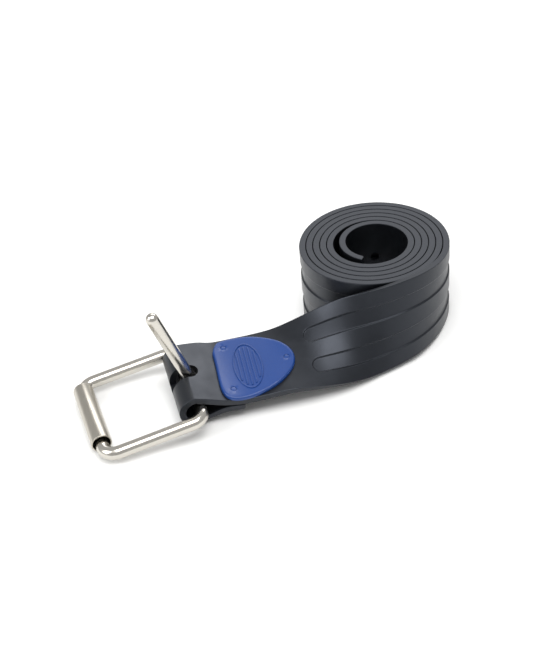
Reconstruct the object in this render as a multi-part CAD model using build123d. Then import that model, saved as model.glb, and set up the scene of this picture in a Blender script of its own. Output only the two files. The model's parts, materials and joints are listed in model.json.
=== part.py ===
from build123d import *
from math import asin, cos, degrees, radians, sin
import os

# Dive weight belt: a moulded rubber strap, coiled on its edge at one end and folded round a steel roller
# buckle at the other. Millimetres. +Z is up, the buckle points to -X, the belt stands on the floor z = 0.

# strap section
strap_width = 50.0
strap_thickness = 4.0
edge_land = 9.5
channel_width = 10.0
channel_depth = 0.9

# coil
coil_radius = 46.3
coil_gap = 0.3
exit_angle = -27.3
full_half_turns = 10
last_turn_sweep = 79.0
free_end_radius = 22.2
free_end_sweep = 174.0

# run-out from the coil to the buckle: length of each step and, at its end, how far the strap has turned
# in plan since it left the coil, its slope, and its lean from standing on edge (0) to face up (90)
run_out = [
    (13.4, -12.7, 3.4, 0.3),
    (13.4, -24.6, 4.4, 3.0),
    (13.4, -37.5, 2.3, 7.7),
    (13.4, -51.1, -2.1, 13.7),
    (13.4, -63.8, -7.0, 18.8),
    (13.4, -70.6, -6.9, 29.2),
    (13.4, -72.1, -7.1, 45.9),
    (13.4, -70.8, -7.4, 61.7),
    (13.4, -69.9, -4.7, 73.3),
    (13.4, -70.1, -4.8, 80.6),
    (13.4, -70.6, -3.7, 81.5),
    (13.4, -70.5, 0.2, 81.6),
    (11.5, -69.7, 9.8, 84.2),
    (9.6, -68.8, 23.0, 85.2),
    (9.3, -66.8, 0.4, 87.4),
]
channel_length = 112.5

# fold round the buckle bar; the tail runs back under the strap and closes up to it
fold_gap = 12.6
tail_openings = [0.3, 2.4, 11.5, fold_gap]
fold_overlap = 0.05
bar_behind_fold = 0.7
bar_above_fold = -0.35

# tongue holes punched near the strap's free end
hole_diameter = 6.0
hole_count = 8
hole_spacing = 20.0
hole_inset = 15.0

# buckle frame and roller
wire_diameter = 7.8
frame_width = 67.0
frame_length = 59.7
frame_bend = 7.8
roller_diameter = 12.0
roller_bore = 10.2
roller_length = 50.5
roller_shift = 2.7
roller_lift = 0.7

# tongue and its slot in the fold
tongue_diameter = 7.7
tongue_length = 59.0
tongue_angle = 71.7
tongue_offset = 2.2
eye_wall = 1.45
eye_clearance = 0.05
slot_width = 10.4
slot_behind_bar = 5.9
slot_below_bar = 1.6

# cover plate and its pins
plate_thickness = 2.2
plate_width = 47.8
plate_setback = 18.0
plate_length = 47.0
plate_nose = 33.0
nose_profile = [(0, 1), (0.23, 0.96), (0.44, 0.855), (0.64, 0.7), (0.8, 0.53), (0.93, 0.31), (1, 0)]
plate_corner = 7.0
plate_shift = -1.0
plate_lift = 0.04
pin_diameter = 3.4
pin_fit = 0.05
pin_recess = 0.2
pin_head_diameter = 6.4
pin_head_height = 1.0
pin_head_clearance = 0.6
pin_places = [(25.0, 16.2), (25.2, -17.7), (60.4, -1.4)]

pitch = strap_thickness + coil_gap
half_width = strap_width / 2
mid_land = strap_width - 2 * edge_land - 2 * channel_width
channel_centre = (mid_land + channel_width) / 2
fold_radius = fold_gap / 2 + strap_thickness
wire_radius = wire_diameter / 2
tongue_radius = tongue_diameter / 2
pin_radius = pin_diameter / 2


def in_plan(angle, distance):
    return Vector(distance * cos(radians(angle)), distance * sin(radians(angle)), 0)


# The coil is half turns about two centres, each half a pitch tighter than the one outside it,
# then a part turn and the sprung free end. Each entry is centre, outer radius, start angle, sweep.
turns = []
for k in range(full_half_turns):
    centre = in_plan(exit_angle + 180, pitch / 2 if k % 2 else 0)
    turns.append((centre, coil_radius - k * pitch / 2, exit_angle + 180 * k, 180))
last_radius = coil_radius - full_half_turns * pitch / 2
last_start = exit_angle + 180 * full_half_turns
turns.append((Vector(0, 0, 0), last_radius, last_start, last_turn_sweep))
free_start = last_start + last_turn_sweep
free_centre = in_plan(free_start, last_radius - free_end_radius)
turns.append((free_centre, free_end_radius, free_start, free_end_sweep))


def spiral_face(recess):
    outer = [CenterArc(c, r - recess, a % 360, span) for c, r, a, span in turns]
    inner = [CenterArc(c, r - strap_thickness, a % 360, span) for c, r, a, span in turns]
    ends = [Line(outer[0] @ 0, inner[0] @ 0), Line(outer[-1] @ 1, inner[-1] @ 1)]
    return make_face(outer + inner + ends)


bands = [
    (edge_land, 0),
    (channel_width, channel_depth),
    (mid_land, 0),
    (channel_width, channel_depth),
    (edge_land, 0),
]
coil = Part()
band_bottom = 0
for band_height, recess in bands:
    coil += Pos(0, 0, band_bottom) * extrude(spiral_face(recess), band_height)
    band_bottom += band_height

# tongue holes, counted back from the free end along the middle of the rubber
distance = hole_inset
holes_left = hole_count
for centre, radius, start, span in reversed(turns):
    middle_radius = radius - strap_thickness / 2
    arc_length = radians(span) * middle_radius
    while holes_left and distance < arc_length:
        angle = start + span - degrees(distance / middle_radius)
        outside = centre + in_plan(angle, radius + coil_gap / 6) + Vector(0, 0, half_width)
        hole_plane = Plane(origin=outside, z_dir=in_plan(angle, -1))
        coil -= hole_plane * extrude(Circle(hole_diameter / 2), strap_thickness + coil_gap)
        distance += hole_spacing
        holes_left -= 1
    distance -= arc_length


# Each station of the run-out is a plane on the grooved face: x back along the strap, y across it and
# z out of the rubber. The last station stands over the front of the fold.
def direction(heading, slope):
    flat = in_plan(heading, cos(radians(slope)))
    return Vector(flat.X, flat.Y, sin(radians(slope)))


def station_plane(point, heading, slope, lean):
    along = direction(heading, slope)
    upright = direction(heading, slope + 90)
    level = direction(heading - 90, 0)
    across = upright * cos(radians(lean)) + level * sin(radians(lean))
    return Plane(origin=point, x_dir=-along, z_dir=across.cross(along))


exit_heading = exit_angle - 90
point = in_plan(exit_angle, coil_radius) + Vector(0, 0, half_width)
heading = exit_heading
slope = 0
stations = [station_plane(point, heading, slope, 0)]
distances = [0]
for step, turn, next_slope, lean in run_out:
    next_heading = exit_heading + turn
    point = point + direction((heading + next_heading) / 2, (slope + next_slope) / 2) * step
    heading = next_heading
    slope = next_slope
    stations.append(station_plane(point, heading, slope, lean))
    distances.append(distances[-1] + step)


def plane_at(distance):
    k = max(i for i in range(len(stations) - 1) if distances[i] <= distance)
    share = (distance - distances[k]) / (distances[k + 1] - distances[k])
    a = stations[k]
    b = stations[k + 1]
    return Plane(
        origin=a.origin * (1 - share) + b.origin * share,
        x_dir=a.x_dir * (1 - share) + b.x_dir * share,
        z_dir=a.z_dir * (1 - share) + b.z_dir * share,
    )


def section(plane, bottom, thickness, width=strap_width, shift=0):
    across = Plane(origin=plane.origin, x_dir=plane.y_dir, z_dir=plane.x_dir)
    return across * Pos(shift, bottom + thickness / 2) * Rectangle(width, thickness)


# run-out, and the tail under its end
top_layer = loft([section(p, -strap_thickness, strap_thickness) for p in stations])
tail_stations = stations[-len(tail_openings):]
tail_bottoms = [-2 * strap_thickness - opening for opening in tail_openings]
tail = loft([section(p, b, strap_thickness) for p, b in zip(tail_stations, tail_bottoms)])

# the two channels carry on along the run-out and end round, short of the cover plate
channel_stations = [p for p, d in zip(stations, distances) if d < channel_length - channel_width / 4]
channel_stations.append(plane_at(channel_length))
round_steps = [(sin(radians(a)), cos(radians(a))) for a in (0, 30, 55, 75)]
for side in (-1, 1):
    groove = [-channel_depth, 2 * channel_depth, channel_width, side * channel_centre]
    top_layer -= loft([section(p, *groove) for p in channel_stations])
    round_end = []
    for ahead, narrow in round_steps:
        end_plane = plane_at(channel_length + channel_width / 2 * ahead)
        groove[2] = channel_width * narrow
        round_end.append(section(end_plane, *groove))
    top_layer -= loft(round_end, ruled=True)

# front of the fold, run a little into both layers so that they join
fold_plane = stations[-1]
fold_ring = Cylinder(fold_radius, strap_width) - Cylinder(fold_gap / 2, strap_width)
fold_ring -= Pos(fold_radius + fold_overlap, 0, 0) * Box(2 * fold_radius, 2 * fold_radius, strap_width)
fold = fold_plane * Pos(0, 0, -fold_radius) * Rot(90, 0, 0) * fold_ring

# The buckle bar lies in the fold along Y; buckle_plane has x back along the belt and z up.
bar = fold_plane.origin + fold_plane.x_dir * bar_behind_fold
bar -= fold_plane.z_dir * (fold_radius - bar_above_fold)
bar_place = Pos(bar.X, bar.Y, bar.Z)

# slot for the tongue, over the top of the fold and down its front
slot_top = fold_radius - bar_above_fold + 1
slot_height = slot_top + slot_below_bar
slot_length = slot_behind_bar + 2 * fold_radius
slot_middle = slot_behind_bar - (slot_width + slot_length) / 2
slot_plan = Pos(slot_middle, 0) * Rectangle(slot_length, slot_width)
slot_plan += Pos(slot_behind_bar - slot_width / 2, 0) * Circle(slot_width / 2)
slot = bar_place * Pos(0, 0, -slot_below_bar) * extrude(slot_plan, slot_height)

# cover plate: a slab on the strap's face, cut to a square end with round corners and a long nose
plate_half = plate_width / 2
nose_start = plate_length - plate_nose
nose_side = [(nose_start + plate_nose * x, plate_half * y) for x, y in nose_profile]
nose_points = nose_side + [(x, -y) for x, y in reversed(nose_side[:-1])]
nose_edge = Spline(*nose_points, tangents=[(1, 0), (-1, 0)])
square_edge = Polyline(nose_points[-1], (0, -plate_half), (0, plate_half), nose_points[0])
plate_face = make_face([nose_edge, square_edge])
plate_face = fillet(plate_face.vertices().group_by(Axis.X)[0], plate_corner)
middle_plane = plane_at(distances[-1] - plate_setback - plate_length / 2)
plate_place = middle_plane * Pos(-plate_length / 2, plate_shift, -10)
cover_plate = loft([section(p, plate_lift, plate_thickness) for p in stations])
cover_plate &= plate_place * extrude(plate_face, 20)

# pins through the plate and the strap; the two by the buckle also go through the tail
plate_pins = []
downward = (Align.CENTER, Align.CENTER, Align.MAX)
tail_length = distances[-1] - distances[-len(tail_openings)]
for back, across in pin_places:
    pin_plane = plane_at(distances[-1] - back) * Pos(0, across, 0)
    depth = strap_thickness + pin_head_clearance
    if back < tail_length:
        depth += strap_thickness + tail_openings[1]
    hole_depth = 5 + depth + plate_thickness
    hole = pin_plane * Pos(0, 0, 5) * Cylinder(pin_radius + pin_fit, hole_depth, align=downward)
    top_layer -= hole
    tail -= hole
    cover_plate -= hole
    top = plate_lift + plate_thickness - pin_recess
    shank = Pos(0, 0, top) * Cylinder(pin_radius, top + depth, align=downward)
    head = Pos(0, 0, -depth) * Cylinder(pin_head_diameter / 2, pin_head_height, align=downward)
    pin = shank + head
    plate_pins.append(pin_plane * pin)
strap = coil + [top_layer, tail, fold] - slot

# buckle frame: one wire bent to a rectangle, its front bar low enough for the roller to reach the floor
front_height = roller_diameter / 2 - roller_lift
frame_pitch = degrees(asin((bar.Z - front_height) / frame_length))
frame_plane = Plane(bar_place * Rot(0, -frame_pitch, 0))
frame_corners = [(0, -1), (-1, -1), (-1, 1), (0, 1)]
frame_points = [(x * frame_length, y * frame_width / 2) for x, y in frame_corners]
frame_line = FilletPolyline(*frame_points, radius=frame_bend, close=True)
wire_start = Plane(origin=frame_line @ 0, z_dir=frame_line % 0)
buckle_frame = frame_plane * sweep(wire_start * Circle(wire_radius), path=frame_line)

# roller on the front bar, hanging on it with its underside on the floor
roller_place = frame_plane * Pos(-frame_length, roller_shift, 0)
roller = Cylinder(roller_diameter / 2, roller_length) - Cylinder(roller_bore / 2, roller_length)
roller_centre = roller_place.position + Vector(0, 0, roller_lift)
roller = Pos(roller_centre.X, roller_centre.Y, roller_centre.Z) * Rot(90, 0, 0) * roller

# tongue: a round rod with a domed tip, set off-centre on an eye that turns on the bar
eye_bore = wire_radius + eye_clearance
eye = Rot(90, 0, 0) * Cylinder(eye_bore + eye_wall, tongue_diameter)
rod_length = tongue_length - tongue_radius
rod = Cylinder(tongue_radius, rod_length, align=(Align.CENTER, Align.CENTER, Align.MIN))
rod += Pos(0, 0, rod_length) * Sphere(tongue_radius)
rod = Pos(tongue_offset, 0, 0) * rod
tongue = eye + rod - Rot(90, 0, 0) * Cylinder(eye_bore, 2 * tongue_diameter)
tongue = bar_place * Rot(0, tongue_angle - 90, 0) * tongue

# everything moves together so that the middle of the footprint is the origin
pieces = {
    "strap": strap,
    "cover_plate": cover_plate,
    "plate_pins": Compound(children=[Part(pin.wrapped) for pin in plate_pins]),
    "buckle_frame": buckle_frame,
    "roller": roller,
    "tongue": tongue,
}
boxes = [piece.bounding_box() for piece in pieces.values()]
middle_x = (min(b.min.X for b in boxes) + max(b.max.X for b in boxes)) / 2
middle_y = (min(b.min.Y for b in boxes) + max(b.max.Y for b in boxes)) / 2
to_origin = Pos(-middle_x, -middle_y, -min(b.min.Z for b in boxes))

os.makedirs("parts", exist_ok=True)
for name, piece in pieces.items():
    export_step(to_origin * piece, f"parts/{name}.step")
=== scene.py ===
import json
import math
import bmesh
import bpy
from mathutils import Matrix, Vector


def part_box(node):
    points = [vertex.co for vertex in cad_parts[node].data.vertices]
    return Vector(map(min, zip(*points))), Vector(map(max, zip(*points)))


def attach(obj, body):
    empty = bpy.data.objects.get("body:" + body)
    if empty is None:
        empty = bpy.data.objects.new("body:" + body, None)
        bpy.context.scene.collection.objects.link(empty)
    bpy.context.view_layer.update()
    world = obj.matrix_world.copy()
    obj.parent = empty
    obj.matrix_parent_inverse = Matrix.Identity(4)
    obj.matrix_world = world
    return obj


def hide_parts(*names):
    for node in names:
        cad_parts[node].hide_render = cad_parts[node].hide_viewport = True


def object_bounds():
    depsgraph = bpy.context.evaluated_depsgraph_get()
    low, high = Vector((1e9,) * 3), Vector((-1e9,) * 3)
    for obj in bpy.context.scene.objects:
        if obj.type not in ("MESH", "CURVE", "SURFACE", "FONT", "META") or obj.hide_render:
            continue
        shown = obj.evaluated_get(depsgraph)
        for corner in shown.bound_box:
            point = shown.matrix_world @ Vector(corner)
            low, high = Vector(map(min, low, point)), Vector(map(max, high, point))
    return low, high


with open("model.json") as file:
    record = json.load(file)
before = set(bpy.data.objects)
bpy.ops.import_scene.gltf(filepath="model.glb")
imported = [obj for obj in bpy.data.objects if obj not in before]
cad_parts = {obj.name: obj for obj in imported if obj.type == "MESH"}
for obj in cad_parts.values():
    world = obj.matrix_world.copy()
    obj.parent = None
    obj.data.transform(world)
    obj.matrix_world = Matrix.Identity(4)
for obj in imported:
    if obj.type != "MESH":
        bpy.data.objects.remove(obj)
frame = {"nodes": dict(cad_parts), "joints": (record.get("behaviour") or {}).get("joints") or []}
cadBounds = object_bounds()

mm = 0.001


# ---- small helpers

def interpolate(keys, at, x):
    # smooth curve through the keyed values, one tangent per key
    k = max(i for i in range(len(at) - 1) if at[i] <= x or i == 0)
    step = at[k + 1] - at[k]
    t = (x - at[k]) / step

    def tangent(i):
        a, b = max(i - 1, 0), min(i + 1, len(at) - 1)
        return (keys[b] - keys[a]) / (at[b] - at[a])
    h00 = 2 * t ** 3 - 3 * t ** 2 + 1
    h10 = t ** 3 - 2 * t ** 2 + t
    h01 = 3 * t ** 2 - 2 * t ** 3
    h11 = t ** 3 - t ** 2
    return keys[k] * h00 + tangent(k) * step * h10 + keys[k + 1] * h01 + tangent(k + 1) * step * h11


def inPlan(degrees, distance):
    turn = math.radians(degrees)
    return Vector((math.cos(turn), math.sin(turn), 0)) * distance


def makeObject(name, bm, materials, body, node=None, smoothAngle=35):
    for edge in bm.edges:
        faces = edge.link_faces
        edge.smooth = len(faces) == 2 and edge.calc_face_angle(0) < math.radians(smoothAngle)
    for face in bm.faces:
        face.smooth = True
    mesh = bpy.data.meshes.new(name)
    bm.to_mesh(mesh)
    bm.free()
    piece = bpy.data.objects.new(name, mesh)
    bpy.context.scene.collection.objects.link(piece)
    for material in materials:
        mesh.materials.append(material)
    if body:
        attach(piece, body)
    if node:
        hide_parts(node)
    return piece


def colour(code):
    # sRGB hex to the linear values the shader wants
    parts = [int(code[i:i + 2], 16) / 255 for i in (1, 3, 5)]
    return [p / 12.92 if p < 0.04045 else ((p + 0.055) / 1.055) ** 2.4 for p in parts] + [1]


def addNode(material, kind, settings=None, links=None):
    node = material.node_tree.nodes.new(kind)
    for key, value in (settings or {}).items():
        if key in node.inputs:
            node.inputs[key].default_value = value
        else:
            setattr(node, key, value)
    for key, (source, output) in (links or {}).items():
        material.node_tree.links.new(source.outputs[output], node.inputs[key])
    return node


def newMaterial(name, settings):
    material = bpy.data.materials.new(name)
    material.use_nodes = True
    shader = material.node_tree.nodes["Principled BSDF"]
    for key, value in settings.items():
        shader.inputs[key].default_value = value
    where = addNode(material, "ShaderNodeTexCoord")
    return material, shader, where


def connect(material, source, output, target, key):
    material.node_tree.links.new(source.outputs[output], target.inputs[key])


# ---- materials

# Moulded EPDM rubber: near black, with the smooth skin a mould leaves, a soft sheen and a faint bloom
rubberLook = {"tint": "#08090b", "bloom": "#0f1114", "roughness": (0.3, 0.42), "bloomSize": 14.0, "grain": 0.5}
# the bluish Specular Tint is a painted reflection colour: it gives the rubber's reflections a cool cast that
# stands in for cool light
rubber, shader, where = newMaterial("mouldedRubber", {"IOR": 1.52, "Specular Tint": colour("#e6eeff")})
patches = addNode(rubber, "ShaderNodeTexNoise", {"Scale": 1 / (rubberLook["bloomSize"] * mm), "Detail": 6.0,
                  "Roughness": 0.62}, {"Vector": (where, "Object")})
tint = addNode(rubber, "ShaderNodeMixRGB", {"Color1": colour(rubberLook["tint"]),
               "Color2": colour(rubberLook["bloom"])}, {"Fac": (patches, "Fac")})
connect(rubber, tint, "Color", shader, "Base Color")
sheen = addNode(rubber, "ShaderNodeMapRange", {"From Min": 0.3, "From Max": 0.7,
                "To Min": rubberLook["roughness"][0], "To Max": rubberLook["roughness"][1]},
                {"Value": (patches, "Fac")})
connect(rubber, sheen, "Result", shader, "Roughness")
grain = addNode(rubber, "ShaderNodeTexNoise", {"Scale": 1 / (rubberLook["grain"] * mm), "Detail": 3.0},
                {"Vector": (where, "Object")})
bump = addNode(rubber, "ShaderNodeBump", {"Strength": 0.12, "Distance": 0.05 * mm}, {"Height": (grain, "Fac")})
connect(rubber, bump, "Normal", shader, "Normal")

# The strap's edges are knife cut and duller than the moulded skin. Their colour is painted bounce light:
# lighter and greyer than the faces, standing in for light thrown up from the floor below, and their reflections
# carry the same painted bluish cast as the moulded rubber.
edgeLook = {"tint": "#0c0d10", "bounceLit": "#15171a", "cutSpacing": 1.2}
edgeRubberBounceLit, shader, where = newMaterial("edgeRubberPaintedBounce", {"IOR": 1.52, "Roughness": 0.5,
                                                          "Specular Tint": colour("#e6eeff")})
cuts = addNode(edgeRubberBounceLit, "ShaderNodeTexNoise", {"Scale": 1 / (edgeLook["cutSpacing"] * mm), "Detail": 5.0},
               {"Vector": (where, "Object")})
# painted bounce light: both colours mixed here are lighter than the moulded rubber, so the side faces look lit
# from below
tint = addNode(edgeRubberBounceLit, "ShaderNodeMixRGB", {"Color1": colour(edgeLook["tint"]),
               "Color2": colour(edgeLook["bounceLit"])}, {"Fac": (cuts, "Fac")})
connect(edgeRubberBounceLit, tint, "Color", shader, "Base Color")
bump = addNode(edgeRubberBounceLit, "ShaderNodeBump", {"Strength": 0.25, "Distance": 0.06 * mm},
               {"Height": (cuts, "Fac")})
connect(edgeRubberBounceLit, bump, "Normal", shader, "Normal")

# Injection moulded ABS in royal blue: even colour, satin gloss with a slight orange peel
plasticLook = {"tint": "#043a80", "shade": "#073374", "peel": 0.9}
plastic, shader, where = newMaterial("mouldedAbs", {"IOR": 1.54, "Roughness": 0.34})
peel = addNode(plastic, "ShaderNodeTexNoise", {"Scale": 1 / (plasticLook["peel"] * mm), "Detail": 2.0},
               {"Vector": (where, "Object")})
tint = addNode(plastic, "ShaderNodeMixRGB", {"Color1": colour(plasticLook["tint"]),
               "Color2": colour(plasticLook["shade"])}, {"Fac": (peel, "Fac")})
connect(plastic, tint, "Color", shader, "Base Color")
bump = addNode(plastic, "ShaderNodeBump", {"Strength": 0.1, "Distance": 0.05 * mm}, {"Height": (peel, "Fac")})
connect(plastic, bump, "Normal", shader, "Normal")


def steel(name, tint, roughness, scratch, stretch, depth):
    # stainless wire, rod and tube: polished, with fine scratches stretched along the piece
    material, shader, where = newMaterial(name, {"Metallic": 1.0, "Base Color": colour(tint)})
    along = addNode(material, "ShaderNodeMapping", {"Scale": stretch}, {"Vector": (where, "Object")})
    lines = addNode(material, "ShaderNodeTexNoise", {"Scale": 1 / (scratch * mm), "Detail": 5.0,
                    "Roughness": 0.65}, {"Vector": (along, "Vector")})
    finish = addNode(material, "ShaderNodeMapRange", {"From Min": 0.3, "From Max": 0.7, "To Min": roughness[0],
                     "To Max": roughness[1]}, {"Value": (lines, "Fac")})
    connect(material, finish, "Result", shader, "Roughness")
    bump = addNode(material, "ShaderNodeBump", {"Strength": 0.2, "Distance": depth * mm},
                   {"Height": (lines, "Fac")})
    connect(material, bump, "Normal", shader, "Normal")
    return material


polishedWire = steel("polishedStainlessWire", "#c9c5bd", (0.14, 0.26), 1.0, (1, 1, 1), 0.02)
polishedRod = steel("polishedStainlessRod", "#c9c5bd", (0.14, 0.26), 1.0, (1, 1, 0.3), 0.02)
satinTube = steel("satinStainlessTube", "#b9b4aa", (0.26, 0.38), 0.6, (1, 0.12, 1), 0.03)
print("materials made")


# ---- strap: modelled flat as a long grooved strip, then laid along its path

strap = {
    "width": 50.0, "thickness": 4.0, "edgeLand": 9.5, "channelWidth": 10.0, "channelDepth": 0.9,
    "edgeRound": 0.4, "channelRound": 0.45, "wallSlope": 0.5, "support": 0.25,
    "coilRadius": 46.3, "coilPitch": 4.3, "exitAngle": -27.3, "halfTurns": 10, "lastTurn": 79.0,
    "freeEndRadius": 22.2, "freeEndTurn": 174.0, "degreesPerStep": 3.6, "runOutStep": 1.6,
    "channelLength": 112.5, "foldGap": 12.6, "tailOpenings": (12.6, 11.5, 2.4, 0.3),
    "holeDiameter": 6.0, "holeSpacing": 20.0, "holeInset": 15.0, "holeCount": 8,
    "slotWidth": 10.4, "slotBehindBar": 6.4, "barBehindFold": 0.7, "slotEnd": 100.9, "skew": 4.1, "dip": 0.2,
    "leadIn": 13.4, "leadInTurn": 16.6, "holeStops": 8, "holeMargin": 0.4, "fineStep": 0.35, "slotReach": 16,
    "foldStep": 5.5, "foldSteps": 17, "lowerFoldSteps": 15, "tailSteps": 24, "endInset": 0.3,
    # length of each step, then how far the strap has turned, its slope and its lean at the step's end
    "runOut": (
        (13.4, -12.7, 3.4, 0.3), (13.4, -24.6, 4.4, 3.0), (13.4, -37.5, 2.3, 7.7),
        (13.4, -51.1, -2.1, 13.7), (13.4, -63.8, -7.0, 18.8), (13.4, -70.6, -6.9, 29.2),
        (13.4, -72.1, -7.1, 45.9), (13.4, -70.8, -7.4, 61.7), (13.4, -69.9, -4.7, 73.3),
        (13.4, -70.1, -4.8, 80.6), (13.4, -70.6, -3.7, 81.5), (13.4, -70.5, 0.2, 81.6),
        (11.5, -69.7, 9.8, 84.2), (9.6, -68.8, 23.0, 85.2), (9.3, -66.8, 0.4, 87.4)),
}
# the coil stands a little above the strap's lowest point, which is the dip just after the coil
strapLow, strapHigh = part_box("strap")
coilCentre = Vector((strapHigh.x / mm - strap["coilRadius"], strapHigh.y / mm - strap["coilRadius"],
                     strapLow.z / mm + strap["dip"]))
middle = Vector((0, 0, strap["width"] / 2))

# arcs of the coil from the outside in: centre, radius, start angle, sweep
arcs = []
for k in range(strap["halfTurns"]):
    shift = strap["coilPitch"] / 2 if k % 2 else 0
    arcs.append((inPlan(strap["exitAngle"] + 180, shift), strap["coilRadius"] - k * strap["coilPitch"] / 2,
                 strap["exitAngle"] + 180 * k, 180))
innerRadius = strap["coilRadius"] - strap["halfTurns"] * strap["coilPitch"] / 2
innerStart = strap["exitAngle"] + 180 * strap["halfTurns"]
arcs.append((Vector(), innerRadius, innerStart, strap["lastTurn"]))
freeStart = innerStart + strap["lastTurn"]
arcs.append((inPlan(freeStart, innerRadius - strap["freeEndRadius"]), strap["freeEndRadius"], freeStart,
             strap["freeEndTurn"]))


def direction(heading, slope):
    flat = inPlan(heading, math.cos(math.radians(slope)))
    return Vector((flat.x, flat.y, math.sin(math.radians(slope))))


# places along the run-out: point on the grooved face, direction across, direction out of the rubber
heading, slope = strap["exitAngle"] - 90, 0
point = coilCentre + middle + inPlan(strap["exitAngle"], strap["coilRadius"])
runAt, runPoint, runAcross, runOutward = [], [], [], []
before = inPlan(strap["exitAngle"] + strap["leadInTurn"], strap["coilRadius"])
for at, place, turned in [(-strap["leadIn"], coilCentre + middle + before, heading + strap["leadInTurn"]),
                          (0, point, heading)]:
    runAt.append(at)
    runPoint.append(place)
    runAcross.append(Vector((0, 0, 1)))
    runOutward.append(inPlan(turned + 90, 1))
for step, turn, nextSlope, lean in strap["runOut"]:
    nextHeading = strap["exitAngle"] - 90 + turn
    point = point + direction((heading + nextHeading) / 2, (slope + nextSlope) / 2) * step
    heading, slope = nextHeading, nextSlope
    along = direction(heading, slope)
    upright = direction(heading, slope + 90) * math.cos(math.radians(lean))
    across = upright + direction(heading - 90, 0) * math.sin(math.radians(lean))
    runAt.append(runAt[-1] + step)
    runPoint.append(point)
    runAcross.append(across)
    runOutward.append(across.cross(along))
foldAt = runAt[-1]


def alongRun(at):
    across = interpolate(runAcross, runAt, at).normalized()
    return interpolate(runPoint, runAt, at), across, interpolate(runOutward, runAt, at).normalized()


def onStrap(at, side, height):
    place, across, outward = alongRun(at)
    return place + across * side + outward * height


# One entry per ring: place, across, outward, distance along the run-out, and the half width and the two
# shifts of the cut-out. The rings start at the free end.
rings = []
holeAt = [strap["holeInset"] + strap["holeSpacing"] * i for i in range(strap["holeCount"])]
holeRings = []
beforeRun = -1000  # the channels only end on the run-out
gone = 0
for centre, radius, start, sweep in reversed(arcs):
    middleRadius = radius - strap["thickness"] / 2
    arcLength = math.radians(sweep) * middleRadius
    steps = max(2, round(sweep / strap["degreesPerStep"]))
    stops = [gone + arcLength * i / steps for i in range(steps)]
    half = strap["holeDiameter"] / 2
    for hole in holeAt:
        if gone + half < hole < gone + arcLength - half:
            stops = [s for s in stops if abs(s - hole) > half + strap["holeMargin"]]
            stops += [hole - half * math.cos(math.pi * (i + 0.5) / strap["holeStops"])
                      for i in range(strap["holeStops"])]
    for stop in sorted(stops):
        angle = start + sweep - math.degrees((stop - gone) / middleRadius)
        near = [h for h in holeAt if abs(stop - h) < half]
        cut = math.sqrt(half ** 2 - (stop - near[0]) ** 2) if near else half
        if near:
            holeRings.append((near[0], len(rings)))
        rings.append((coilCentre + middle + centre + inPlan(angle, radius), Vector((0, 0, 1)), inPlan(angle, 1),
                      beforeRun, cut, (0, 0)))
    gone += arcLength
skew = math.tan(math.radians(strap["skew"]))
slotHalf = strap["slotWidth"] / 2
slotFirst = None
at = 0
while at < foldAt:
    place, across, outward = alongRun(at)
    ahead = foldAt - at - strap["barBehindFold"]
    cut, shift = slotHalf, ahead * skew
    roundness = ahead - (strap["slotBehindBar"] - slotHalf)
    if roundness > 0:
        cut = math.sqrt(max(slotHalf ** 2 - roundness ** 2, 0.6))
    if ahead > strap["slotReach"]:
        cut, shift = slotHalf, 0
    if slotFirst is None and roundness < slotHalf - 0.06:
        slotFirst = len(rings)
    rings.append((place, across, outward, at, cut, (shift, shift)))
    nearTip = abs(at - strap["channelLength"] - 2.5) < 3.2
    nearSlot = ahead < strap["slotBehindBar"] + 0.6
    at += strap["fineStep"] if nearTip or nearSlot else strap["runOutStep"]
foldRadius = strap["foldGap"] / 2 + strap["thickness"]
foldPoint, foldAcross, foldOut = runPoint[-1], runAcross[-1], runOutward[-1]
foldBack = foldAcross.cross(foldOut)
foldCentre = foldPoint - foldOut * foldRadius
lowerStep = (180 - strap["slotEnd"]) / strap["lowerFoldSteps"]
foldAngles = [i * strap["foldStep"] for i in range(strap["foldSteps"])]
foldAngles += [strap["slotEnd"] + i * lowerStep for i in range(strap["lowerFoldSteps"] + 1)]
for angle in foldAngles:
    turned = math.radians(angle)
    outward = foldOut * math.cos(turned) - foldBack * math.sin(turned)
    shifts = [(-r * math.sin(turned) - strap["barBehindFold"]) * skew
              for r in (foldRadius, strap["foldGap"] / 2)]
    if angle == strap["slotEnd"]:
        slotLast = len(rings)
    rings.append((foldCentre + outward * foldRadius, foldAcross, outward, foldAt, slotHalf, shifts))
tailCount = len(strap["tailOpenings"])
tailAt = [foldAt - at for at in reversed(runAt[-tailCount:])]
tailKeys = []
for k, opening in enumerate(strap["tailOpenings"]):
    drop = 2 * strap["thickness"] + opening
    tailKeys.append(runPoint[-1 - k] - runOutward[-1 - k] * drop)
tailAcross = [runAcross[-1 - k] for k in range(tailCount)]
tailOut = [-runOutward[-1 - k] for k in range(tailCount)]
for k in range(1, strap["tailSteps"] + 1):
    at = tailAt[-1] * k / strap["tailSteps"]
    rings.append((interpolate(tailKeys, tailAt, at), interpolate(tailAcross, tailAt, at).normalized(),
                  interpolate(tailOut, tailAt, at).normalized(), foldAt, slotHalf, (0, 0)))


def roundCorner(corner, a, b, radius, support):
    # four points of an arc at a corner, with a supporting point on each side of it
    u, v = (a - corner).normalized(), (b - corner).normalized()
    half = u.angle(v) / 2
    reach = min(radius / math.tan(half), 0.45 * (a - corner).length, 0.45 * (b - corner).length)
    first, last = corner + u * reach, corner + v * reach
    bend = corner + (u + v).normalized() * (reach / math.cos(half) - reach * math.tan(half))
    spareA = min(support, 0.3 * (a - corner).length)
    spareB = min(support, 0.3 * (b - corner).length)
    return [first + u * spareA, first, bend, last, last + v * spareB]


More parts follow.
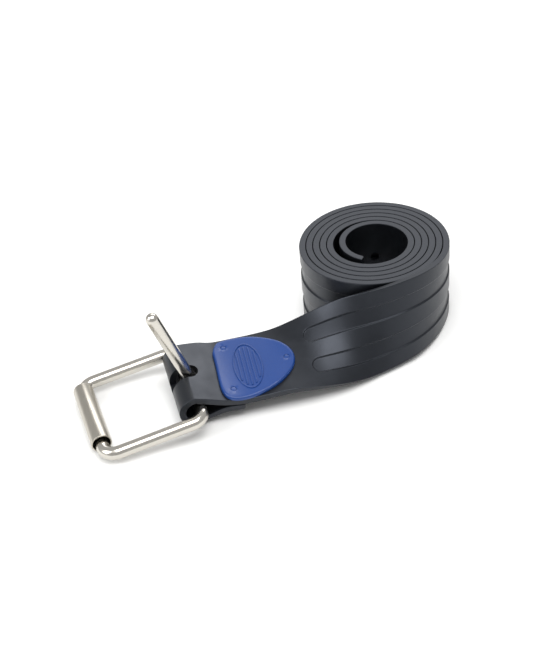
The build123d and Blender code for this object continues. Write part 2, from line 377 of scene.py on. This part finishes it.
def stripProfile(at, cut, shifts, inset=0):
    # the strip's outline across: y along the width, z out of the rubber, the grooved face at z = 0
    half = strap["width"] / 2
    channelHalf = strap["channelWidth"] / 2
    channelMiddle = half - strap["edgeLand"] - channelHalf
    beyond = at - strap["channelLength"]
    depth = strap["channelDepth"]
    if beyond > 0:
        channelHalf = math.sqrt(max(channelHalf ** 2 - beyond ** 2, 0.04))
        depth *= min(1, max(channelHalf - 0.2, 0) / 1.5)
    depth = max(depth, 0.002)
    foot = channelHalf - min(strap["wallSlope"], 0.4 * channelHalf)
    corners = [(-half, -strap["thickness"], 0), (-half, 0, 0)]
    for side in (-channelMiddle, channelMiddle):
        corners += [(side - channelHalf, 0, 1), (side - foot, -depth, 1), (side + foot, -depth, 1),
                    (side + channelHalf, 0, 1)]
    corners += [(half, 0, 0), (half, -strap["thickness"], 0)]
    points = [Vector(c[:2]) for c in corners]
    outline = []
    for k, corner in enumerate(corners):
        radius = strap["channelRound"] if corner[2] else strap["edgeRound"]
        following = points[(k + 1) % len(points)]
        outline += roundCorner(points[k], points[k - 1], following, radius, strap["support"])
        if k == 5:
            outline += [Vector((shifts[0] - cut, 0)), Vector((shifts[0] + cut, 0))]
    outline += [Vector((shifts[1] + cut, -strap["thickness"])), Vector((shifts[1] - cut, -strap["thickness"]))]
    if inset:
        centre = Vector((0, -strap["thickness"] / 2))
        outline = [Vector(((p.x * (half - inset) / half), centre.y + (p.y - centre.y) * (2 - inset) / 2))
                   for p in outline]
    return outline


count = len(stripProfile(0, 3, (0, 0)))
cornerPoints = 5
topCut = cornerPoints * 6  # index of the cut-out's first point on the grooved face
backCut = count - 2
last = len(rings) - 1
strip = bmesh.new()
bmesh.ops.create_grid(strip, x_segments=last, y_segments=count, size=1)
profiles = [stripProfile(ring[3], ring[4], ring[5], strap["endInset"] if k in (0, last) else 0)
            for k, ring in enumerate(rings)]
layer = strip.faces.layers.int.new("station")
column = strip.faces.layers.int.new("column")
for face in strip.faces:
    centre = face.calc_center_median()
    face[layer] = int((centre.x + 1) / 2 * last)
    face[column] = int((centre.y + 1) / 2 * count)
for vert in strip.verts:
    k = round((vert.co.x + 1) / 2 * last)
    j = round((vert.co.y + 1) / 2 * count) % count
    place, across, outward = rings[k][:3]
    vert.co = place + across * profiles[k][j].x + outward * profiles[k][j].y
# the strip's two edges run between the middles of their rounded corners
firstSide = cornerPoints // 2
lastSide = count - 2 - cornerPoints - cornerPoints + firstSide
sideColumns = [side + i for side in (firstSide, lastSide) for i in range(cornerPoints)]
# the side faces get the second material, the rubber with painted bounce light
for face in strip.faces:
    face.material_index = 1 if face[column] in sideColumns else 0
cutOuts = [(slotFirst, slotLast)]
for hole in holeAt:
    ringsHere = [k for h, k in holeRings if h == hole]
    if ringsHere:
        cutOuts.append((ringsHere[0], ringsHere[-1]))
for first, final in cutOuts:
    doomed = [f for f in strip.faces if first <= f[layer] < final and f[column] in (topCut, backCut)]
    rim = {e for f in doomed for e in f.edges}
    rim = [e for e in rim if sum(f in doomed for f in e.link_faces) == 1]
    bmesh.ops.delete(strip, geom=doomed, context="FACES")
    bmesh.ops.bridge_loops(strip, edges=[e for e in rim if e.is_valid])
bmesh.ops.remove_doubles(strip, verts=strip.verts, dist=0.0005)
bmesh.ops.holes_fill(strip, edges=[e for e in strip.edges if e.is_boundary], sides=0)
bmesh.ops.recalc_face_normals(strip, faces=strip.faces)
bmesh.ops.scale(strip, vec=(mm, mm, mm), verts=strip.verts)
print("strap rings", len(rings), "open edges", sum(not e.is_manifold for e in strip.edges))
makeObject("strapShape", strip, [rubber, edgeRubberBounceLit], "belt", "strap")


# ---- cover plate: a flat shield with a rounded rim, laid on the strap's face

plate = {
    "thickness": 2.2, "lift": 0.04, "rim": 1.3, "rimSteps": 6, "outlineStep": 0.8, "sliceStep": 2.5,
    # distance along the run-out and distance across it
    "outline": (
        (173.0, 14.8), (170.1, 21.0), (166.3, 22.7), (159.4, 23.1), (151.3, 22.4), (144.3, 20.2), (137.7, 16.7),
        (132.1, 12.2), (128.1, 6.7), (126.2, 1.4), (126.4, -3.7), (128.7, -9.0), (133.0, -14.0), (138.8, -18.6),
        (144.8, -21.5), (151.9, -23.9), (158.8, -25.1), (165.4, -25.3), (169.1, -24.2), (171.7, -21.1),
        (173.0, -15.6), (173.2, -7.5), (173.1, 1.7), (173.1, 9.1)),
    "pins": ((166.2, 16.2), (166.0, -17.7), (130.8, -1.4)),
    "pinDiameter": 3.4, "pinWell": 3.8, "wellDepth": 0.5,
    "badgeMiddle": (154.4, -1.4), "badgeHalf": (8.8, 17.8), "badgeRise": 0.5, "badgeRim": 1.0,
    "badgeRound": 0.25,
    "ribCount": 5, "ribWidth": 1.1, "ribMargin": 2.2, "ribEndGap": 2.4, "ribOval": 1.4, "ribSteps": 12,
    "pinHeight": 1.6, "pinRecess": 0.16, "pinRound": 0.35, "wellEntry": ((0.12, 0.05), (0.08, 0.15)),
    "spanAlong": (125, 175), "spanAcross": (-27, 25),
}


def smoothLoop(points, step):
    # closed smooth curve through the points, evenly divided
    n = len(points)
    pts = [Vector(p) for p in points]
    made = []
    for k in range(n):
        a, b, c, d = pts[k - 1], pts[k], pts[(k + 1) % n], pts[(k + 2) % n]
        divisions = max(2, round((c - b).length / step))
        for i in range(divisions):
            t = i / divisions
            made.append(0.5 * ((2 * b) + (c - a) * t + (2 * a - 5 * b + 4 * c - d) * t ** 2
                               + (3 * b - a - 3 * c + d) * t ** 3))
    return made


def circle(middle, radius, count):
    return [Vector(middle) + Vector((math.cos(a), math.sin(a))) * radius
            for a in (2 * math.pi * i / count for i in range(count))]


def addLoop(bm, points, height):
    verts = [bm.verts.new((p.x, p.y, height)) for p in points]
    return [bm.edges.new((verts[k - 1], verts[k])) for k in range(len(verts))]


def borderNormals(edges):
    # outward direction in plan at each vertex of an open border, away from its one face
    found = {}
    for edge in edges:
        face = edge.link_faces[0]
        a, b = edge.verts
        side = Vector((b.co.y - a.co.y, a.co.x - b.co.x, 0)).normalized()
        if side.dot(face.calc_center_median() - a.co) > 0:
            side = -side
        for v in (a, b):
            found[v] = found.get(v, Vector()) + side
    return {v: n.normalized() for v, n in found.items()}


def pushOut(bm, edges, normals, offset, drop):
    # extrude a border outwards and down; returns the new border and its normals
    old = {v.co.copy().freeze(): normals[v] for e in edges for v in e.verts}
    made = bmesh.ops.extrude_edge_only(bm, edges=edges)["geom"]
    newEdges = [g for g in made if isinstance(g, bmesh.types.BMEdge)]
    newVerts = [g for g in made if isinstance(g, bmesh.types.BMVert)]
    newNormals = {}
    for v in newVerts:
        normal = old[v.co.copy().freeze()]
        v.co += normal * offset - Vector((0, 0, drop))
        newNormals[v] = normal
    border = [e for e in newEdges if len(e.link_faces) == 1]
    return border, newNormals


def slices(bm, low, high, step, axis):
    at = low + step
    while at < high:
        where = [0, 0, 0]
        where[axis] = at
        normal = [0, 0, 0]
        normal[axis] = 1
        everything = bm.verts[:] + bm.edges[:] + bm.faces[:]
        bmesh.ops.bisect_plane(bm, geom=everything, plane_co=where, plane_no=normal)
        at += step


def layOnStrap(bm):
    for v in bm.verts:
        v.co = onStrap(v.co.x, v.co.y, v.co.z) * mm
    bmesh.ops.recalc_face_normals(bm, faces=bm.faces)


outline = smoothLoop(plate["outline"], plate["outlineStep"])
middlePoint = sum(outline, Vector((0, 0))) / len(outline)
inner = []
for k, p in enumerate(outline):
    tangent = (outline[(k + 1) % len(outline)] - outline[k - 1]).normalized()
    normal = Vector((tangent.y, -tangent.x))
    if normal.dot(p - middlePoint) < 0:
        normal = -normal
    inner.append(p - normal * plate["rim"])
top = plate["lift"] + plate["thickness"]
shield = bmesh.new()
edges = addLoop(shield, inner, top)
for pin in plate["pins"]:
    edges += addLoop(shield, circle(pin, plate["pinWell"] / 2, 32), top)
bmesh.ops.triangle_fill(shield, use_beauty=True, use_dissolve=False, edges=edges)
slices(shield, *plate["spanAlong"], plate["sliceStep"], 0)
slices(shield, *plate["spanAcross"], plate["sliceStep"], 1)
border = [e for e in shield.edges if e.is_boundary]
wells, rim = [], []
for e in border:
    middleOf = (e.verts[0].co.xy + e.verts[1].co.xy) / 2
    near = any((middleOf - Vector(pin)).length < plate["pinWell"] / 2 + 0.02 for pin in plate["pins"])
    (wells if near else rim).append(e)
normals = borderNormals(rim)
for k in range(plate["rimSteps"]):
    a, b = (math.radians(90 * i / plate["rimSteps"]) for i in (k, k + 1))
    rim, normals = pushOut(shield, rim, normals, plate["rim"] * (math.sin(b) - math.sin(a)),
                           plate["rim"] * (math.cos(a) - math.cos(b)))
rim, normals = pushOut(shield, rim, normals, 0, plate["thickness"] - plate["rim"])
bmesh.ops.holes_fill(shield, edges=rim, sides=0)
normals = borderNormals(wells)
for offset, drop in plate["wellEntry"] + ((0, plate["wellDepth"]),):
    wells, normals = pushOut(shield, wells, normals, offset, drop)
bmesh.ops.holes_fill(shield, edges=wells, sides=0)
layOnStrap(shield)

# plain badge: a raised oval ring with straight ribs inside it
badge = bmesh.new()
badgeMiddle = Vector(plate["badgeMiddle"])
halfX, halfY = plate["badgeHalf"]
for grow in (0, -plate["badgeRim"]):
    oval = circle((0, 0), 1, 96)
    addLoop(badge, [badgeMiddle + Vector((p.x * (halfX + grow), p.y * (halfY + grow))) for p in oval], top)
bmesh.ops.bridge_loops(badge, edges=badge.edges[:])
ribGap = 2 * (halfX - plate["ribMargin"]) / plate["ribCount"]
for k in range(plate["ribCount"]):
    x = -halfX + plate["ribMargin"] + ribGap * (k + 0.5)
    reach = (halfY - plate["ribEndGap"]) * math.sqrt(1 - (x / (halfX - plate["ribOval"])) ** 2)
    made = bmesh.ops.create_grid(badge, x_segments=1, y_segments=plate["ribSteps"], size=0.5)["verts"]
    bmesh.ops.scale(badge, vec=(plate["ribWidth"], 2 * reach, 1), verts=made)
    bmesh.ops.translate(badge, vec=(badgeMiddle.x + x, badgeMiddle.y, top), verts=made)
raised = bmesh.ops.extrude_face_region(badge, geom=badge.faces[:])["geom"]
raisedVerts = [g for g in raised if isinstance(g, bmesh.types.BMVert)]
bmesh.ops.translate(badge, vec=(0, 0, plate["badgeRise"]), verts=raisedVerts)
bmesh.ops.recalc_face_normals(badge, faces=badge.faces)
upper = [e for e in badge.edges if all(v.co.z > top + 0.1 for v in e.verts) and e.calc_face_angle(0) > 0.9]
bmesh.ops.bevel(badge, geom=upper, offset=plate["badgeRound"], segments=3, profile=0.5, affect="EDGES",
                material=-1)
layOnStrap(badge)
shieldMesh = bpy.data.meshes.new("badge")
badge.to_mesh(shieldMesh)
badge.free()
shield.from_mesh(shieldMesh)
makeObject("coverPlate", shield, [plastic], "belt", "cover_plate", 32)

pins = bmesh.new()
for pin in plate["pins"]:
    made = bmesh.ops.create_cone(pins, cap_ends=True, segments=32, radius1=plate["pinDiameter"] / 2,
                                 radius2=plate["pinDiameter"] / 2, depth=plate["pinHeight"])["verts"]
    pinMiddle = top - plate["pinRecess"] - plate["pinHeight"] / 2
    bmesh.ops.translate(pins, vec=(pin[0], pin[1], pinMiddle), verts=made)
tops = [e for e in pins.edges if all(v.co.z > top - 0.3 for v in e.verts) and e.calc_face_angle(0) > 0.9]
bmesh.ops.bevel(pins, geom=tops, offset=plate["pinRound"], segments=3, profile=0.5, affect="EDGES", material=-1)
layOnStrap(pins)
makeObject("platePins", pins, [plastic], "belt", "plate_pins")
print("plate made")


# ---- roller: a turned tube with softly broken rims

roller = {"diameter": 12.0, "bore": 10.2, "length": 50.5, "rimRound": 0.35}
joints = {j["name"]: j for j in frame["joints"]}
rollerCentre = Vector(joints["roller_spin"]["pos_m"])
tube = bmesh.new()
half, r0, r1, soft = roller["length"] / 2, roller["bore"] / 2, roller["diameter"] / 2, roller["rimRound"]
section = [tube.verts.new((r, 0, z)) for r, z in ((r0, -half), (r1, -half), (r1, half), (r0, half))]
tube.faces.new(section)
bmesh.ops.bevel(tube, geom=tube.verts[:], offset=soft, segments=4, profile=0.5, affect="VERTICES", material=-1)
bmesh.ops.delete(tube, geom=tube.faces[:], context="FACES_ONLY")
bmesh.ops.spin(tube, geom=tube.verts[:] + tube.edges[:], cent=(0, 0, 0), axis=(0, 0, 1), angle=math.tau,
               steps=96, use_merge=True)
bmesh.ops.remove_doubles(tube, verts=tube.verts, dist=0.0005)
bmesh.ops.recalc_face_normals(tube, faces=tube.faces)
bmesh.ops.rotate(tube, verts=tube.verts, matrix=Matrix.Rotation(math.radians(90), 3, "X"))
bmesh.ops.scale(tube, vec=(mm, mm, mm), verts=tube.verts)
bmesh.ops.translate(tube, vec=rollerCentre, verts=tube.verts)
print("roller open edges", sum(not e.is_manifold for e in tube.edges))
makeObject("rollerTube", tube, [satinTube], "roller", "roller")

for node, material in (("buckle_frame", polishedWire), ("tongue", polishedRod)):
    part = frame["nodes"][node]
    part.data.materials.clear()
    part.data.materials.append(material)
    part.data.shade_smooth()
print("roller and buckle made")


# ---- floor, light and camera

stage = {"floor": "#f4f4f3", "size": 6.0, "world": "#ffffff", "worldStrength": 0.55}
# Board painted matt white: no sheen
floorMaterial = newMaterial("paintedBoard", {"Base Color": colour(stage["floor"]), "Roughness": 0.9})[0]
ground = bmesh.new()
bmesh.ops.create_grid(ground, x_segments=1, y_segments=1, size=stage["size"] / 2)
bmesh.ops.translate(ground, vec=(0, 0, cadBounds[0].z - 0.0002), verts=ground.verts)
floor = makeObject("floor", ground, [floorMaterial], None)

world = bpy.data.worlds.new("studio")
bpy.context.scene.world = world
world.use_nodes = True
world.node_tree.nodes["Background"].inputs["Color"].default_value = colour(stage["world"])
world.node_tree.nodes["Background"].inputs["Strength"].default_value = stage["worldStrength"]

view = {"azimuth": -15.286, "elevation": 37.753, "roll": 5.849, "distance": 767.6,
        "target": (-1.086, 0.297, 16.531), "focal": 68.29, "sensor": 36.0}

# softboxes: place round the object relative to the camera's azimuth, size, power
lights = {
    "overheadBox": {"azimuth": 15, "elevation": 72, "distance": 1.1, "size": (0.9, 0.7), "power": 9},
    "leftBox": {"azimuth": -70, "elevation": 35, "distance": 1.2, "size": (0.6, 0.8), "power": 6},
    "backStrip": {"azimuth": 165, "elevation": 40, "distance": 1.2, "size": (1.0, 0.35), "power": 5},
}
focus = Vector(view["target"]) * mm


def around(azimuth, elevation, distance):
    a, e = math.radians(azimuth), math.radians(elevation)
    return Vector((math.sin(a) * math.cos(e), -math.cos(a) * math.cos(e), math.sin(e))) * distance


for name, light in lights.items():
    data = bpy.data.lights.new(name, "AREA")
    data.shape = "RECTANGLE"
    data.size, data.size_y = light["size"]
    data.energy = light["power"]
    lamp = bpy.data.objects.new(name, data)
    bpy.context.scene.collection.objects.link(lamp)
    offset = around(view["azimuth"] + light["azimuth"], light["elevation"], light["distance"])
    lamp.location = focus + offset
    lamp.rotation_euler = (-offset).to_track_quat("-Z", "Y").to_euler()

back = around(view["azimuth"], view["elevation"], 1)
right = Vector((-back.y, back.x, 0)).normalized()
up = back.cross(right)
roll = math.radians(view["roll"])
rightRolled = right * math.cos(roll) - up * math.sin(roll)
upRolled = right * math.sin(roll) + up * math.cos(roll)
camera = bpy.data.objects.new("camera", bpy.data.cameras.new("camera"))
bpy.context.scene.collection.objects.link(camera)
camera.matrix_world = Matrix.Translation(focus + back * view["distance"] * mm) @ Matrix(
    (rightRolled, upRolled, back)).transposed().to_4x4()
camera.data.lens = view["focal"]
camera.data.sensor_width = view["sensor"]
camera.data.clip_start, camera.data.clip_end = 0.01, 50
bpy.context.scene.camera = camera
bpy.context.scene.view_settings.view_transform = "Standard"

print("scene ready")
